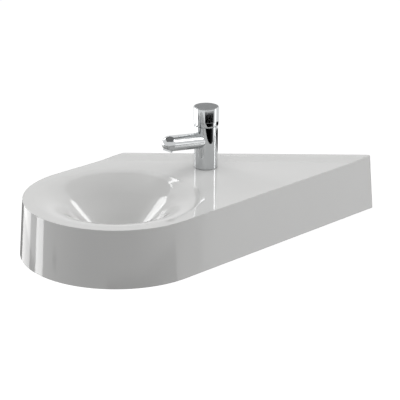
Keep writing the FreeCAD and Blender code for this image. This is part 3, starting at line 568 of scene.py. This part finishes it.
def softbox(name, start, end, width, level, mirrored=True):
    """A rectangular lamp from one place to another that faces the bowl.

    level is how many times as bright as white paper its surface is.
    """
    middle = (start + end) / 2
    along, out = (end - start).normalized(), (middle - BOWL).normalized()
    across = out.cross(along).normalized()
    data = bpy.data.lights.new(name, "AREA")
    data.shape = "RECTANGLE"
    data.size, data.size_y = (end - start).length, width
    data.energy = level * math.pi * data.size * width
    lamp = bpy.data.objects.new(name, data)
    turned = Matrix((along, across, along.cross(across))).transposed().to_4x4()
    lamp.matrix_world = Matrix.Translation(middle) @ turned
    lamp.visible_camera = False
    lamp.visible_glossy = mirrored
    bpy.context.scene.collection.objects.link(lamp)


def stage_piece(name, work, colour, camera_sees=True):
    """A floor or a card of matt paper, which isn't part of the basin."""
    sheet = bpy.data.objects.new(name, bpy.data.meshes.new(name))
    work.to_mesh(sheet.data)
    work.free()
    sheet.visible_camera = camera_sees
    sheet.visible_diffuse = camera_sees
    sheet.visible_shadow = camera_sees
    bpy.context.scene.collection.objects.link(sheet)
    paper = new_finish(name + "_paper", (colour, colour), 0.5, (0.9, 1.0), 0.01, 0.0,
                       Specular_IOR_Level=0.0)
    coat_with(paper, sheet)
    return paper


def ray_is_seen(material):
    """1 for what the camera, a mirror or glass sees, and 0 for the light that falls on matt surfaces."""
    rays = add_node(material, "LightPath")
    seen = add_node(material, "Math", {0: rays.outputs["Is Camera Ray"], 1: rays.outputs["Is Glossy Ray"]},
                    operation="MAXIMUM")
    return add_node(material, "Math", {0: seen.outputs[0], 1: rays.outputs["Is Transmission Ray"]},
                    operation="MAXIMUM").outputs[0]


ground = bmesh.new()
bmesh.ops.create_grid(ground, x_segments=1, y_segments=1, size=ROOM,
                      matrix=Matrix.Translation((0, 0, FLOOR)))
paper = stage_piece("studio_floor", ground, "#F4F4F4")
glow = add_node(paper, "Math", {0: ray_is_seen(paper), 1: FLOOR_GLOW}, operation="MULTIPLY")
shader = paper.node_tree.nodes["Principled BSDF"]
shader.inputs["Emission Color"].default_value = linear("#FFFFFF")
paper.node_tree.links.new(glow.outputs[0], shader.inputs["Emission Strength"])

FAR = 6.0
softbox("arch_near_wall", toward(-5, 30, FAR), toward(-18, 41, FAR), 0.12, 4.5)
softbox("arch_middle", toward(-18, 41, FAR), toward(-44, 38, FAR), 0.5, 4.5)
softbox("highlight_right_of_bowl", toward(-49, 18, FAR), toward(-49, 36, FAR), 1.6, 4.5)
softbox("highlight_left_of_bowl", toward(44, 20, FAR), toward(44, 31, FAR), 0.9, 4.5)
softbox("strip_on_apron", toward(-82, -24), toward(-82, 2), 0.66, 4.2)
softbox("glow_on_far_left", toward(-48, -24), toward(-48, 2), 1.3, 1.8)
softbox("rim_light", toward(155, 45, FAR), toward(205, 45, FAR), 0.35, 3.2)
softbox("spout_light_high", toward(81, 16, FAR), toward(81, 41, FAR), 1.2, 5.5)
softbox("spout_light_low", toward(84, -29, 4.0), toward(84, -8, 4.0), 1.2, 0.8)
softbox("fill_above", toward(-90, 70, 2.0), toward(90, 70, 2.0), 1.6, 2.3, mirrored=False)
softbox("fill_right", toward(105, 8, 2.0), toward(130, 8, 2.0), 0.8, 1.9, mirrored=False)
softbox("fill_left", toward(-130, 8, 2.0), toward(-105, 8, 2.0), 0.8, 1.6, mirrored=False)


def carpet(name, near, far, start, sweep, colour="#050505"):
    """A dark carpet on the floor: part of a ring round the tap, in metres and degrees from the front."""
    work = bmesh.new()
    centre = TAP_CENTRE * MM + Vector((0, 0, FLOOR + 0.01))
    strip = chain(work, [centre + Vector((0, -near, 0)), centre + Vector((0, -far, 0))])
    bmesh.ops.rotate(work, cent=centre, verts=work.verts,
                     matrix=Matrix.Rotation(math.radians(start), 3, "Z"))
    bmesh.ops.spin(work, geom=strip, cent=centre, axis=(0, 0, 1), angle=math.radians(sweep), steps=24)
    stage_piece(name, work, colour, camera_sees=False)


carpet("wide_carpet", 5.5, 8.75, -11, 56)
carpet("paler_carpet", 5.5, 8.75, 45, 12, "#3C3C3C")
carpet("palest_carpet", 5.5, 8.75, 57, 14, "#626262")
carpet("narrow_carpet", 8.2, 8.6, -77, 6)
carpet("carpet_far_left", 5.6, 7.3, -176, 71, "#404040")
carpet("carpet_far_right", 5.6, 8.1, 107, 69, "#404040")
carpet("carpet_below", 0.05, 3.2, 0, 360, "#484848")
ceiling = bmesh.new()
bmesh.ops.create_grid(ceiling, x_segments=1, y_segments=1, size=3.5,
                      matrix=Matrix.Translation((0, -0.3, 3.2)))
stage_piece("ceiling", ceiling, "#B8B8B8", camera_sees=False)

world = bpy.data.worlds.new("studio")
bpy.context.scene.world = world
world.use_nodes = True
fill = world.node_tree.nodes["Background"]
fill.inputs["Color"].default_value = linear("#FFFFFF")
fill.inputs["Strength"].default_value = WORLD_LEVEL
white = add_node(world, "Background", {"Color": linear("#FFFFFF"), "Strength": 1.0})
mix = add_node(world, "MixShader", {0: ray_is_seen(world), 1: fill.outputs[0], 2: white.outputs[0]})
world.node_tree.links.new(mix.outputs[0], world.node_tree.nodes["World Output"].inputs["Surface"])


# The camera: a long lens a little left of the basin's middle, looking down at 20 degrees. Its place,
# turn and lens come from fitting the basin's outline to the photograph.
CAMERA_PLACE = (-0.15051, -4.04193, 1.41872)
TURNED_RIGHT = math.radians(0.403)
TILTED_DOWN = math.radians(20.15)
ROLLED = math.radians(0.597)
camera_data = bpy.data.cameras.new("camera")
camera_data.sensor_width = 36.0
camera_data.lens = 148.25
camera = bpy.data.objects.new("camera", camera_data)
camera.matrix_world = (Matrix.Translation(CAMERA_PLACE) @ Matrix.Rotation(-TURNED_RIGHT, 4, "Z")
                       @ Matrix.Rotation(math.pi / 2 - TILTED_DOWN, 4, "X")
                       @ Matrix.Rotation(ROLLED, 4, "Z"))
bpy.context.scene.collection.objects.link(camera)
bpy.context.scene.camera = camera
bpy.context.scene.view_settings.view_transform = "Standard"
